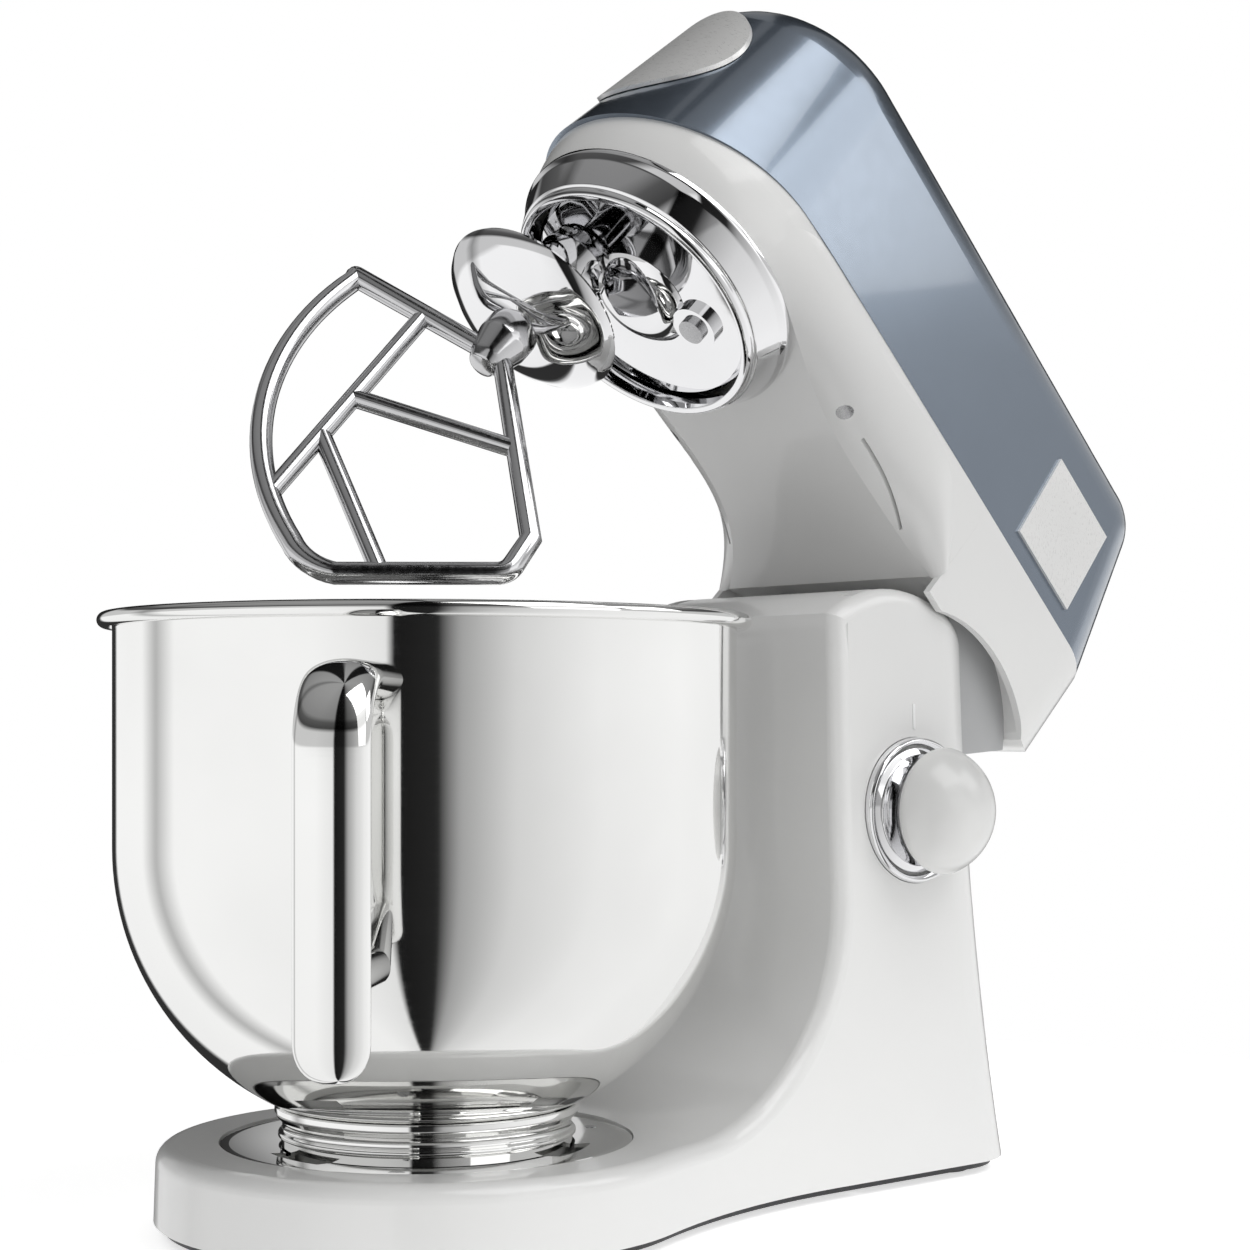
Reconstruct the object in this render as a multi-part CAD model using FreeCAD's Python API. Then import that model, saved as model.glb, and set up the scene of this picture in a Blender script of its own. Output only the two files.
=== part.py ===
import FreeCAD, Part
import math
import os
from FreeCAD import Vector

# Stand mixer with a tilting head, shown with the head raised.
# Millimetres. +Z is up, the worktop is Z = 0, and the bowl's axis is the Z axis.
# The nose points to -Y and the speed knob to +X.
# Head pieces are drawn with the head down and are swung up about the hinge pin at the end.

# Hinge of the head
HINGE_Y = 183.0
HINGE_Z = 157.0
HEAD_TILT = 46.0
PIN_R = 5.0
PIN_HALF = 51.0
CLIP_X = (34.8, 36.2)
RUNNING = 0.05
ARM_X = 30.0
ARM_T = 8.0
ARM_HALF = 8.0
ARM_EYE = 12.0
ARM_LEAN = 70.0
ARM_ROOM = 1.5
ARM_FOOT = (8.0, (192.0, 222.0))
COVER_X = (46.0, 51.5)
COVER_R = (30.0, 60.0)
COVER_SWEEP = 66.0
BUSH_R = 7.0
BOSS_R = 10.0
BOSS_X = (37.0, 56.0)

# Base and column
FEET_H = 2.5
FOOT_PAD_R = 13.0
FEET_AT = [(0, 0), (58, -42), (-58, -42), (42, 212), (-42, 212)]
PLATE_TOP = 5.0
PLATE_INSET = 3.0
PLATE_SCREW_R = 2.5
PLATE_SCREWS_AT = [(76, 0), (-76, 0), (0, -84), (57, 150), (-57, 150), (0, 233)]
SLAB_TOP = 30.0
SLAB_EDGE = 6.0
NOSE_R = 92.0
WAIST = 64.0
WAIST_SWEEP = 250.0
BASE_REAR = 242.0
BASE_CORNER = 30.0
COLUMN_TOP = 226.0
COLUMN_DRAFT = 7.0
COLUMN_REAR_LOW = 232.0
COLUMN_REAR_TOP = 222.0
COLUMN_REAR_LOW_Z = 62.0
COLUMN_FRONT = 140.0
COVE_R = 78.0
DOME_Y = 172.4
DOME_Z = 164.2
DOME_R = 57.0
DOME_END = 25.0
BASE_WALL = 4.5
INLET_Z = 22.0
INLET_R = 8.0
INLET_FACE = 239.5

# Bowl and its seat
BOWL_R = 105.5
BOWL_WALL = 1.2
BOWL_ARC = 97.0
BOWL_ARC_Z = 129.7
BOWL_RIM_Z = 205.4
RIM_BEAD = 2.6
FOOT_R = 49.5
FOOT_WALL = 3.0
FOOT_Z = 24.5
FOOT_NECK_Z = 34.0
FOOT_TOP = 42.0
WELL_R = 57.0
WELL_Z = 24.2
SEAT_R = 70.0
SEAT_INNER = 50.4
SEAT_Z = 27.0
SEAT_TOP = 29.4
LUG_R = 55.0
LUG_TOP = 26.6
LUG_ANGLE = 24.0
NOTCH_ANGLE = 29.0
TWIST = 30.0
SEAT_SCREW_AT = 62.0
HANDLE_AZ = -46.0
HANDLE_OUT = 158.0
HANDLE_THICK = 10.0
HANDLE_WIDE = 22.0
HANDLE_TOP = 184.0
HANDLE_END = 70.0
HANDLE_BEND = 20.0
HANDLE_POST_Z = 98.0
HANDLE_POST_R = 6.5

# Head
HEAD_HALF = 61.0
HEAD_REAR = 234.0
HEAD_CORNER = 25.0
SEAM_Z = 249.0
SEAM_DROP = 11.0
SEAM_BEND_Y = 30.0
SEAM_SPARE = 6.0
SHELL_TOP = 335.0
SHELL_TAPER = 10.5
SHELL_REAR_TOP = 220.0
SHELL_ROUND = 24.0
SHELL_WALL = 2.5
CASING_WALL = 3.5
NECK_Y = 139.5
CHEEK_R = 57.0
CHEEK_IN = 57.9
CHEEK_LOW = 203.0
REAR_TURN = 19.0
HOLLOW_GAP = 1.2
CAVITY_FLOOR = 229.0
# Underside of the casing at each station along Y:
# half width and height of the flat, then half width and height where the side turns upright
BELLY = [
    (0.0, 57.0, 224.0, 60.6, 241.0),
    (58.0, 42.0, 224.0, 60.6, 245.0),
    (88.0, 39.0, 223.0, 60.7, 246.5),
    (108.0, 41.0, 221.5, 60.8, 246.0),
    (122.0, 45.0, 218.5, 60.9, 239.0),
    (132.0, 50.0, 215.0, 60.9, 229.0),
    (NECK_Y, 55.0, 212.0, 60.9, 218.0),
]
VENT_X = 47.0
VENT_Y = (84.0, 122.0)
VENT_WIDE = 1.4
SCREW_Y = 71.0
SCREW_R = 3.0
BADGE_Y = (157.0, 198.0)
BADGE_Z = (257.5, 301.5)
BADGE_T = 1.2
OUTLET_Z = 287.0
OUTLET_R = 31.0
OUTLET_PROUD = 1.8
STEM_R = 15.0
STEM_END = -44.0
REAR_VENT_HALF = 22.0
REAR_VENT_Z = (229.0, 235.0)

# Planetary hub, gears and tool
HUB_TOP = 224.0
HUB_END = 207.0
RING_TOP_R = 57.0
RING_END_R = 50.0
RING_INNER = 47.0
HUB_HOLE = 46.6
GEAR_MODULE = 1.5
RING_TEETH = 56
PLANET_TEETH = 16
ADDENDUM = 0.8
DEDENDUM = 1.05
HOUSING_R = 52.0
HOUSING_ROOF = 238.0
HOUSING_NECK = (16.0, 262.0)
TOOTH_ROOT = 0.50
TOOTH_TIP = 0.26
GEAR_Z = 225.0
GEAR_H = 8.0
CARRIER_R = 45.5
CARRIER_Z = (213.0, 223.0)
CARRIER_BOSS_AT = 25.0
CARRIER_BOSS_R = 9.0
BEARING_R = 14.5
TOOL_ANGLE = 218.0
TOOL_OFFSET = GEAR_MODULE * (RING_TEETH - PLANET_TEETH) / 2
TOOL_SHAFT_R = 7.0
TOOL_SHAFT_Z = (158.0, 236.0)
CROSS_PIN_R = 1.8
CROSS_PIN_Z = 200.0
DISC_R = 36.0
DISC_RIM_Z = 187.0
DISC_NECK_R = 11.0
DISC_NECK_Z = 172.0
DISC_T = 1.6
SLEEVE_R = 10.0
BEATER_TOP = 161.0
BEATER_BAR = 8.0
BEATER_THICK = 8.0
BEATER_TURN = 44.0

# Drive
SHAFT_R = 7.0
SHAFT_END = 318.0
BELT_Z = 307.0
BELT_H = 9.0
BELT_T = 2.0
BELT_GAP = 0.35
BIG_PULLEY_R = 36.0
SMALL_PULLEY_R = 12.0
MOTOR_Y = 152.0
MOTOR_R = 36.0
MOTOR_BORE = 26.0
MOTOR_Z = (258.0, 303.0)
MOTOR_CAP = 4.0
ROTOR_R = 22.0
ROTOR_SHAFT_R = 4.0
BRACKET_T = 4.0
BRACKET_HALF = 44.0
BRACKET_Y = (122.0, 192.0)
BRACKET_LEG_X = 38.0
BRACKET_LEG_Y = (144.0, 186.0)
FAN_R = 30.0
FAN_Z = (303.6, 306.4)
FAN_BLADES = 9

# Controls
KNOB_Y = 180.0
KNOB_Z = 139.0
KNOB_R = 23.2
KNOB_FACE = 58.2
KNOB_TIP = 90.5
KNOB_EDGE = 74.5
SKIRT_LOW = 58.9
SKIRT_TOP = 72.5
SKIRT_WAIST = 19.5
BEZEL_R = 27.0
SPINDLE_R = 4.0
SPINDLE_END = 48.0
SWITCH_R = 7.8
SWITCH_X = (40.0, 53.6)
LEVER_Y = 188.0
LEVER_Z = 122.0
LEVER_FACE = -61.5
LEVER_TIP = -69.0
LEVER_LONG = 30.0
LEVER_HALF = 7.0

X_AXIS = Vector(1, 0, 0)
Y_AXIS = Vector(0, 1, 0)
Z_AXIS = Vector(0, 0, 1)
ORIGIN = Vector(0, 0, 0)
HINGE = Vector(0, HINGE_Y, HINGE_Z)


def level(z):
    return lambda x, y: Vector(x, y, z)


def station(y):
    return lambda x, z: Vector(x, y, z)


def side(y, z):
    return Vector(0, y, z)


def radial(r, z):
    return Vector(r, 0, z)


def polar(r, degrees, centre=(0, 0)):
    angle = math.radians(degrees)
    return (centre[0] + r * math.cos(angle), centre[1] + r * math.sin(angle))


def closed_wire(plane, start, steps):
    """Wire of lines and arcs. A step is a point, or a pair (point on the arc, end of the arc)."""
    edges = []
    here = start
    for step in steps + [start]:
        is_arc = isinstance(step[0], tuple)
        end = step[1] if is_arc else step
        if is_arc:
            edges.append(Part.Arc(plane(*here), plane(*step[0]), plane(*end)).toShape())
        elif math.dist(here, end) > 1e-6:
            edges.append(Part.LineSegment(plane(*here), plane(*end)).toShape())
        here = end
    return Part.Wire(edges)


def across(start, steps, half):
    """Side outline in Y and Z, drawn out to both sides of the middle plane."""
    shape = Part.Face(closed_wire(side, start, steps)).extrude(Vector(2 * half, 0, 0))
    shape.translate(Vector(-half, 0, 0))
    return shape


def turned(start, steps, degrees=360):
    """Outline in radius and height, turned about the Z axis."""
    return Part.Face(closed_wire(radial, start, steps)).revolve(ORIGIN, Z_AXIS, degrees)


def turned_on_x(start, steps, y, z):
    """Outline in radius and distance along +X, turned about a line through (y, z)."""
    shape = turned(start, steps)
    shape.rotate(ORIGIN, Y_AXIS, 90)
    shape.translate(Vector(0, y, z))
    return shape


def rod(r, start, end):
    start = Vector(*start)
    along = Vector(*end) - start
    return Part.makeCylinder(r, along.Length, start, along)


def upright(r, x, y, low, high):
    return rod(r, (x, y, low), (x, y, high))


def cross_rod(r, x_low, x_high, y=HINGE_Y, z=HINGE_Z):
    return rod(r, (x_low, y, z), (x_high, y, z))


def block(low, high):
    low = Vector(*low)
    size = Vector(*high) - low
    return Part.makeBox(size.x, size.y, size.z, low)


def moved(shape, x=0, y=0, z=0):
    copy = shape.copy()
    copy.translate(Vector(x, y, z))
    return copy


def spun(shape, degrees):
    copy = shape.copy()
    copy.rotate(ORIGIN, Z_AXIS, degrees)
    return copy


def mirrored(shape):
    return shape.mirror(ORIGIN, X_AXIS)


def both_sides(shape):
    return Part.makeCompound([shape, mirrored(shape)])


def fused(first, *others):
    for other in others:
        first = first.fuse(other)
    return first.removeSplitter()


def trimmed(first, *others):
    for other in others:
        first = first.cut(other)
    return first


# Base and column


def base_outline(z, inset, rear, corner):
    """Round nose, hollow sweep to the waist, straight sides and a rear with round corners."""
    nose = NOSE_R - inset
    waist = WAIST - inset
    sweep = WAIST_SWEEP + inset
    sweep_x = waist + sweep
    sweep_y = math.sqrt((nose + sweep) ** 2 - sweep_x ** 2)
    share = nose / (nose + sweep)
    meet = (sweep_x * share, sweep_y * share)
    bend_angle = 180 + math.degrees(math.atan2(sweep_y, sweep_x)) / 2
    bend = polar(sweep, bend_angle, (sweep_x, sweep_y))
    corner_mid = polar(corner, 45, (waist - corner, rear - corner))
    steps = [
        (bend, (waist, sweep_y)),
        (waist, rear - corner),
        (corner_mid, (waist - corner, rear)),
        (corner - waist, rear),
        ((-corner_mid[0], corner_mid[1]), (-waist, rear - corner)),
        (-waist, sweep_y),
        ((-bend[0], bend[1]), (-meet[0], meet[1])),
        ((0, -nose), meet),
    ]
    return closed_wire(level(z), meet, steps)


def base_mass(low, inset):
    """Tapered body of the base and column before its side outline is cut."""
    wires = [
        base_outline(low, inset, BASE_REAR - inset, BASE_CORNER),
        base_outline(COLUMN_REAR_LOW_Z, inset + 2, COLUMN_REAR_LOW - inset, BASE_CORNER - 2),
        base_outline(COLUMN_TOP, inset + COLUMN_DRAFT, COLUMN_REAR_TOP - inset, BASE_CORNER - 5),
    ]
    return Part.makeLoft(wires, True, False)


def base_profile(low, wall):
    """Side outline: slab, cove, column front and the dome over the hinge, drawn in by the wall."""
    top = SLAB_TOP - wall
    front = COLUMN_FRONT + wall
    cove_c = (COLUMN_FRONT - COVE_R, SLAB_TOP + COVE_R)
    dome = DOME_R - wall
    shoulder = DOME_Z + math.sqrt(dome ** 2 - (front - DOME_Y) ** 2)
    rear = DOME_Y + math.sqrt(dome ** 2 - DOME_END ** 2)
    fore = -NOSE_R - 20
    aft = BASE_REAR + 20
    steps = [
        (fore, top),
        (cove_c[0], top),
        (polar(COVE_R + wall, -45, cove_c), (front, cove_c[1])),
        (front, shoulder),
        ((DOME_Y, DOME_Z + dome), (rear, DOME_Z + DOME_END)),
        (aft, DOME_Z + DOME_END),
        (aft, low),
    ]
    return across((fore, low), steps, NOSE_R + 20)


def rounded_base():
    """Solid base and column with its upper edges rounded."""
    shape = base_mass(PLATE_TOP, 0).common(base_profile(PLATE_TOP, 0)).removeSplitter()
    edges = []
    for edge in shape.Edges:
        span = edge.BoundBox
        runs_across = span.YLength < 0.5 and span.ZLength < 0.5
        if span.ZMin > PLATE_TOP + 1 and not runs_across:
            edges.append(edge)
    return shape.makeFillet(SLAB_EDGE, edges)


def arm_slots():
    """Room in the dome for the hinge arms from head down to head up."""
    reach = 90.0
    room = ARM_HALF + ARM_ROOM
    hinge = (HINGE_Y, HINGE_Z)
    front_foot = polar(room, ARM_LEAN + 90, hinge)
    rear_foot = polar(room, ARM_LEAN - HEAD_TILT - 90, hinge)
    front_far = polar(reach, ARM_LEAN, front_foot)
    rear_far = polar(reach, ARM_LEAN - HEAD_TILT, rear_foot)
    half = ARM_T / 2 + 0.6
    slot = across(front_foot, [front_far, rear_far, rear_foot], half)
    slot = slot.fuse(cross_rod(ARM_EYE + ARM_ROOM, -half, half))
    return both_sides(moved(slot, ARM_X))


def base_casting():
    low = PLATE_TOP - 1
    hollow = base_mass(low, BASE_WALL).common(base_profile(low, BASE_WALL))
    hollow = hollow.cut(upright(SEAT_R + 6, 0, 0, WELL_Z - 5, SLAB_TOP))
    pin_boss = both_sides(cross_rod(BOSS_R, *BOSS_X))
    shape = rounded_base().cut(hollow).fuse(pin_boss)
    shape = trimmed(
        shape,
        upright(SEAT_R + 0.4, 0, 0, SEAT_Z, SLAB_TOP + 5),
        upright(WELL_R, 0, 0, WELL_Z, SLAB_TOP),
        arm_slots(),
        cover_slots(),
        cross_rod(PIN_R + 0.02, -PIN_HALF, PIN_HALF),
        cross_rod(SPINDLE_R + RUNNING, 30, 80, KNOB_Y, KNOB_Z),
        cross_rod(BEZEL_R + 0.2, KNOB_FACE, 90, KNOB_Y, KNOB_Z),
        cross_rod(SPINDLE_R + RUNNING, -80, -30, LEVER_Y, LEVER_Z),
        rod(INLET_R, (0, BASE_REAR - 30, INLET_Z), (0, BASE_REAR + 10, INLET_Z)),
        rod(INLET_R + 3, (0, INLET_FACE, INLET_Z), (0, BASE_REAR + 10, INLET_Z)),
    )
    return shape.removeSplitter()


def base_plate():
    outline = base_outline(FEET_H, PLATE_INSET, BASE_REAR - PLATE_INSET, BASE_CORNER)
    shape = Part.Face(outline).extrude(Vector(0, 0, PLATE_TOP - FEET_H))
    return trimmed(shape, *plate_screws().Solids)


def plate_screws():
    screws = [upright(PLATE_SCREW_R, x, y, FEET_H, PLATE_TOP) for x, y in PLATE_SCREWS_AT]
    return Part.makeCompound(screws)


def rubber_feet():
    outline = [(FOOT_PAD_R - 2, 0), (FOOT_PAD_R, FEET_H), (0, FEET_H)]
    foot = turned((0, 0), outline)
    return Part.makeCompound([moved(foot, x, y) for x, y in FEET_AT])


def bowl_seat_ring():
    """Dished steel ring with three notches that let the bowl's lugs through."""
    outline = [(SEAT_R, SEAT_Z), (SEAT_R, SEAT_TOP), (SEAT_R - 3, SEAT_TOP), (SEAT_INNER, SEAT_TOP - 1.2)]
    shape = turned((SEAT_INNER, SEAT_Z), outline)
    for step in range(3):
        notch = sector(LUG_R + 0.8, NOTCH_ANGLE, SEAT_Z - 1, SEAT_TOP + 1)
        shape = shape.cut(spun(notch, 120 * step + TWIST))
    return trimmed(shape, *seat_screws().Solids)


def sector(r, degrees, low, high):
    """Slice of a disc, centred on +X."""
    half = degrees / 2
    steps = [polar(r, -half), ((r, 0), polar(r, half))]
    return Part.Face(closed_wire(level(low), (0, 0), steps)).extrude(Vector(0, 0, high - low))


def seat_screws():
    spots = [polar(SEAT_SCREW_AT, 120 * step + 75) for step in range(3)]
    return Part.makeCompound([upright(2.6, x, y, SEAT_Z, SEAT_TOP - 0.3) for x, y in spots])


def hinge_pin():
    return cross_rod(PIN_R, -PIN_HALF, PIN_HALF)


def pin_clips():
    ring = cross_rod(PIN_R + 3, *CLIP_X).cut(cross_rod(PIN_R + 0.02, 0, PIN_HALF))
    return both_sides(ring)


def knob_bezel():
    outline = [(BEZEL_R, KNOB_FACE), (BEZEL_R, 61.5), (BEZEL_R - 1, 62.5), (KNOB_R + 1, 60.5)]
    return turned_on_x((KNOB_R + 1, KNOB_FACE), outline, KNOB_Y, KNOB_Z)


def speed_switch():
    body = cross_rod(SWITCH_R, *SWITCH_X, KNOB_Y, KNOB_Z)
    return body.cut(cross_rod(SPINDLE_R + RUNNING, SPINDLE_END - 2, KNOB_FACE, KNOB_Y, KNOB_Z))


def control_board():
    board = block((-34, 205, 42), (34, 206.6, 104))
    parts = [
        block((-26, 193, 48), (-6, 205, 66)),
        block((4, 197, 50), (24, 205, 60)),
        block((-20, 199, 78), (0, 205, 96)),
        rod(5, (14, 190, 82), (14, 205, 82)),
    ]
    return fused(board, *parts)


def cord_inlet():
    outline = [(INLET_R - 0.1, 0), (INLET_R - 0.1, 9), (INLET_R + 2.6, 9), (INLET_R + 2.6, 11), (4, 11.8)]
    shape = turned((4, 0), outline)
    shape.rotate(ORIGIN, X_AXIS, -90)
    return moved(shape, 0, INLET_FACE - 9, INLET_Z)


# Speed knob and head release


def speed_knob():
    rise = KNOB_TIP - KNOB_EDGE
    ball = (KNOB_R ** 2 + rise ** 2) / (2 * rise)
    shape = cross_rod(KNOB_R, SKIRT_TOP, KNOB_TIP, KNOB_Y, KNOB_Z)
    return shape.common(Part.makeSphere(ball, Vector(KNOB_TIP - ball, KNOB_Y, KNOB_Z)))


def knob_collar():
    """Chrome skirt under the dome, with the spindle that turns the switch."""
    skirt = [
        (KNOB_R, SKIRT_LOW),
        (KNOB_R, SKIRT_LOW + 2.1),
        (SKIRT_WAIST, SKIRT_LOW + 6),
        (SKIRT_WAIST, SKIRT_TOP - 3),
        (KNOB_R - 1, SKIRT_TOP),
        (0, SKIRT_TOP),
    ]
    shape = turned_on_x((0, SKIRT_LOW), skirt, KNOB_Y, KNOB_Z)
    return fused(shape, cross_rod(SPINDLE_R, SPINDLE_END, SKIRT_LOW + 0.6, KNOB_Y, KNOB_Z))


def release_lever():
    half = LEVER_HALF
    far = LEVER_Y - LEVER_LONG
    hub = cross_rod(half + 4, LEVER_TIP, LEVER_FACE, LEVER_Y, LEVER_Z)
    paddle = block((LEVER_TIP, far, LEVER_Z - half), (LEVER_FACE, LEVER_Y, LEVER_Z + half))
    tip = cross_rod(half, LEVER_TIP, LEVER_FACE, far, LEVER_Z)
    return fused(hub, paddle, tip)


def release_shaft():
    """Shaft of the release lever with the finger that catches the raised head."""
    shaft = cross_rod(SPINDLE_R, LEVER_FACE, -40, LEVER_Y, LEVER_Z)
    finger = block((-50, LEVER_Y - 4, LEVER_Z), (-44, LEVER_Y + 4, LEVER_Z + 20))
    return fused(shaft, finger)


# Bowl


def bowl_outline(wall):
    """Right half of the bowl's outside, drawn in by the wall, up to the rim."""
    arc = BOWL_ARC - wall
    centre = (BOWL_R - BOWL_ARC, BOWL_ARC_Z)
    steps = [
        (centre[0], BOWL_ARC_Z - arc),
        (polar(arc, -45, centre), (BOWL_R - wall, BOWL_ARC_Z)),
        (BOWL_R - wall, BOWL_RIM_Z),
        (0, BOWL_RIM_Z),
    ]
    return (0, BOWL_ARC_Z - arc), steps


def bowl_solid(wall=0.0):
    return turned(*bowl_outline(wall))


def bowl_shell():
    bead_r = BOWL_R - 0.1 + RIM_BEAD
    bead = Part.makeTorus(bead_r, RIM_BEAD, Vector(0, 0, BOWL_RIM_Z), Z_AXIS)
    return fused(bowl_solid().cut(bowl_solid(BOWL_WALL)), bead)


def bowl_foot():
    """Foot ring under the bowl with three bayonet lugs."""
    inner = FOOT_R - FOOT_WALL
    outline = [
        (FOOT_R, FOOT_Z),
        (FOOT_R, FOOT_NECK_Z - 3),
        (FOOT_R - 1.5, FOOT_NECK_Z),
        (FOOT_R + 1.0, FOOT_TOP),
        (inner, FOOT_TOP),
    ]
    shape = turned((inner, FOOT_Z), outline).cut(bowl_solid())
    for step in range(3):
        lug = sector(LUG_R, LUG_ANGLE, FOOT_Z, LUG_TOP)
        lug = lug.cut(upright(inner + 1, 0, 0, FOOT_Z - 1, LUG_TOP + 1))
        shape = shape.fuse(spun(lug, 120 * step))
    return shape.removeSplitter()


def bowl_handle():
    """Rounded bar bent over at the top and held off the bowl by a lower post."""
    middle = HANDLE_OUT - HANDLE_THICK / 2
    bend_c = (middle - HANDLE_BEND, HANDLE_TOP - HANDLE_BEND)
    bend_mid = polar(HANDLE_BEND, 45, bend_c)
    start = Vector(BOWL_R - 6, 0, HANDLE_TOP)
    edges = [
        Part.LineSegment(start, radial(bend_c[0], HANDLE_TOP)).toShape(),
        Part.Arc(radial(bend_c[0], HANDLE_TOP), radial(*bend_mid), radial(middle, bend_c[1])).toShape(),
        Part.LineSegment(radial(middle, bend_c[1]), radial(middle, HANDLE_END)).toShape(),
    ]
    ends = HANDLE_THICK / 2
    flat = HANDLE_WIDE / 2 - ends
    steps = [
        (flat, -ends),
        ((flat + ends, 0), (flat, ends)),
        (-flat, ends),
        ((-flat - ends, 0), (-flat, -ends)),
    ]
    section = closed_wire(lambda a, b: Vector(start.x, a, start.z + b), (-flat, -ends), steps)
    bar = Part.Wire(edges).makePipeShell([section], True, False)
    post = rod(HANDLE_POST_R, (BOWL_R - 20, 0, HANDLE_POST_Z), (middle, 0, HANDLE_POST_Z))
    return spun(fused(bar, post).cut(bowl_solid()), HANDLE_AZ)


# Head casing and shell


def head_outline(z, inset, rear):
    """Half-round nose about the bowl axis, straight sides and round rear corners."""
    half = HEAD_HALF - inset
    corner_y = rear - HEAD_CORNER
    corner_x = half - HEAD_CORNER
    corner_mid = polar(HEAD_CORNER, 45, (corner_x, corner_y))
    steps = [
        (half, corner_y),
        (corner_mid, (corner_x, rear)),
        (-corner_x, rear),
        ((-corner_mid[0], corner_mid[1]), (-half, corner_y)),
        (-half, 0),
        ((0, -half), (half, 0)),
    ]
    return closed_wire(level(z), (half, 0), steps)


def above_seam(gap=0.0):
    """Everything over the seam, which is level along the sides and dips towards the nose."""
    fore = -HEAD_HALF - 40
    reach = SEAM_BEND_Y + HEAD_HALF
    bend_r = (reach ** 2 + SEAM_DROP ** 2) / (2 * SEAM_DROP)
    level_z = SEAM_Z + gap
    centre_z = level_z - bend_r
    low_z = centre_z + math.sqrt(bend_r ** 2 - (SEAM_BEND_Y - fore) ** 2)
    middle = (SEAM_BEND_Y + fore) / 2
    middle_z = centre_z + math.sqrt(bend_r ** 2 - (SEAM_BEND_Y - middle) ** 2)
    aft = HEAD_REAR + 40
    steps = [
        (aft, level_z),
        (aft, SHELL_TOP + 40),
        (fore, SHELL_TOP + 40),
        (fore, low_z),
        ((middle, middle_z), (SEAM_BEND_Y, level_z)),
    ]
    return across((SEAM_BEND_Y, level_z), steps, HEAD_HALF + 40)


def shell_mass(grow=0.0, low=SEAM_Z - SEAM_DROP - 8):
    """Tapered upper body of the head with a rounded top, grown or drawn in all round."""
    slope = SHELL_TOP - SEAM_Z
    rise = SEAM_Z - low
    side_low = -grow - SHELL_TAPER * rise / slope
    rear_low = HEAD_REAR + grow + (HEAD_REAR - SHELL_REAR_TOP) * rise / slope
    top = SHELL_TOP + grow
    side_top = SHELL_TAPER * (top - SEAM_Z) / slope - grow
    rear_top = HEAD_REAR + grow - (HEAD_REAR - SHELL_REAR_TOP) * (top - SEAM_Z) / slope
    wires = [head_outline(low, side_low, rear_low), head_outline(top, side_top, rear_top)]
    shape = Part.makeLoft(wires, True, True)
    edges = [edge for edge in shape.Edges if edge.BoundBox.ZMin > top - 0.1]
    return shape.makeFillet(SHELL_ROUND + grow, edges)


def head_shell():
    shape = shell_mass().common(above_seam()).cut(shell_mass(-SHELL_WALL))
    hole = rod(STEM_R + 0.4, (0, -HEAD_HALF - 10, OUTLET_Z), (0, 0, OUTLET_Z))
    return shape.cut(hole)


def badge_plate():
    window = block((20, BADGE_Y[0], BADGE_Z[0]), (90, BADGE_Y[1], BADGE_Z[1]))
    return shell_mass(BADGE_T).cut(shell_mass()).common(window)


def outlet_cap():
    """Round cover that follows the nose, with the stem that plugs the outlet."""
    column = rod(OUTLET_R, (0, -HEAD_HALF - 20, OUTLET_Z), (0, -15, OUTLET_Z))
    face = shell_mass(OUTLET_PROUD).cut(shell_mass(0.3)).common(column)
    stem = rod(STEM_R, (0, STEM_END, OUTLET_Z), (0, -HEAD_HALF - 5, OUTLET_Z))
    return fused(face, stem.common(shell_mass(OUTLET_PROUD - 0.5)))


def outlet_bush():
    bore = STEM_R + 0.4
    outer = rod(bore + 4, (0, STEM_END - 6, OUTLET_Z), (0, STEM_END + 2, OUTLET_Z))
    shape = outer.cut(rod(bore, (0, -70, OUTLET_Z), (0, STEM_END + 3, OUTLET_Z)))
    return shape.common(shell_mass(-SHELL_WALL - 0.1))


def belly_section(spot, wall, top):
    y, flat, flat_z, turn, turn_z = spot
    flat = flat - wall * 0.8
    flat_z = flat_z + wall
    turn = turn - wall
    edge = HEAD_HALF - wall
    bulge = ((flat + turn) / 2 + 3.0, (flat_z + turn_z) / 2 - 3.0)
    if y == 0:
        bulge = ((flat + turn) / 2 + 0.6, (flat_z + turn_z) / 2 - 0.6)
    steps = [
        (edge, top),
        (turn, turn_z),
        (bulge, (flat, flat_z)),
        (-flat, flat_z),
        ((-bulge[0], bulge[1]), (-turn, turn_z)),
    ]
    return steps


def belly_mass(wall=0.0, top=SEAM_Z):
    """Front of the casing: a half-turned nose and a belly that flares out to the neck."""
    wires = []
    for spot in BELLY:
        steps = belly_section(spot, wall, top)
        wires.append(closed_wire(station(spot[0]), (wall - HEAD_HALF, top), steps))
    belly = Part.makeLoft(wires, True, False)
    edge, turn, arc, flat = belly_section(BELLY[0], wall, top)[:4]
    nose_steps = [(0, flat[1]), arc[1], (arc[0], turn), edge]
    nose = turned((0, top), nose_steps, -180)
    return belly.fuse(nose)


def neck_mass(top):
    """Rear of the casing with the cheeks that straddle the column."""
    turn = REAR_TURN
    corner = polar(turn, -45, (HEAD_REAR - turn, CHEEK_LOW + turn))
    steps = [
        (HEAD_REAR - turn, CHEEK_LOW),
        (corner, (HEAD_REAR, CHEEK_LOW + turn)),
        (HEAD_REAR, top),
        (NECK_Y, top),
    ]
    shape = across((NECK_Y, CHEEK_LOW), steps, HEAD_HALF)
    low = CHEEK_LOW - 5
    outline = Part.Face(head_outline(low, 0, HEAD_REAR)).extrude(Vector(0, 0, top + 5 - low))
    hollow = cross_rod(DOME_R + HOLLOW_GAP, -CHEEK_IN, CHEEK_IN, DOME_Y, DOME_Z)
    return trimmed(shape.common(outline), cross_rod(CHEEK_R, -80, 80), hollow)


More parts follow.
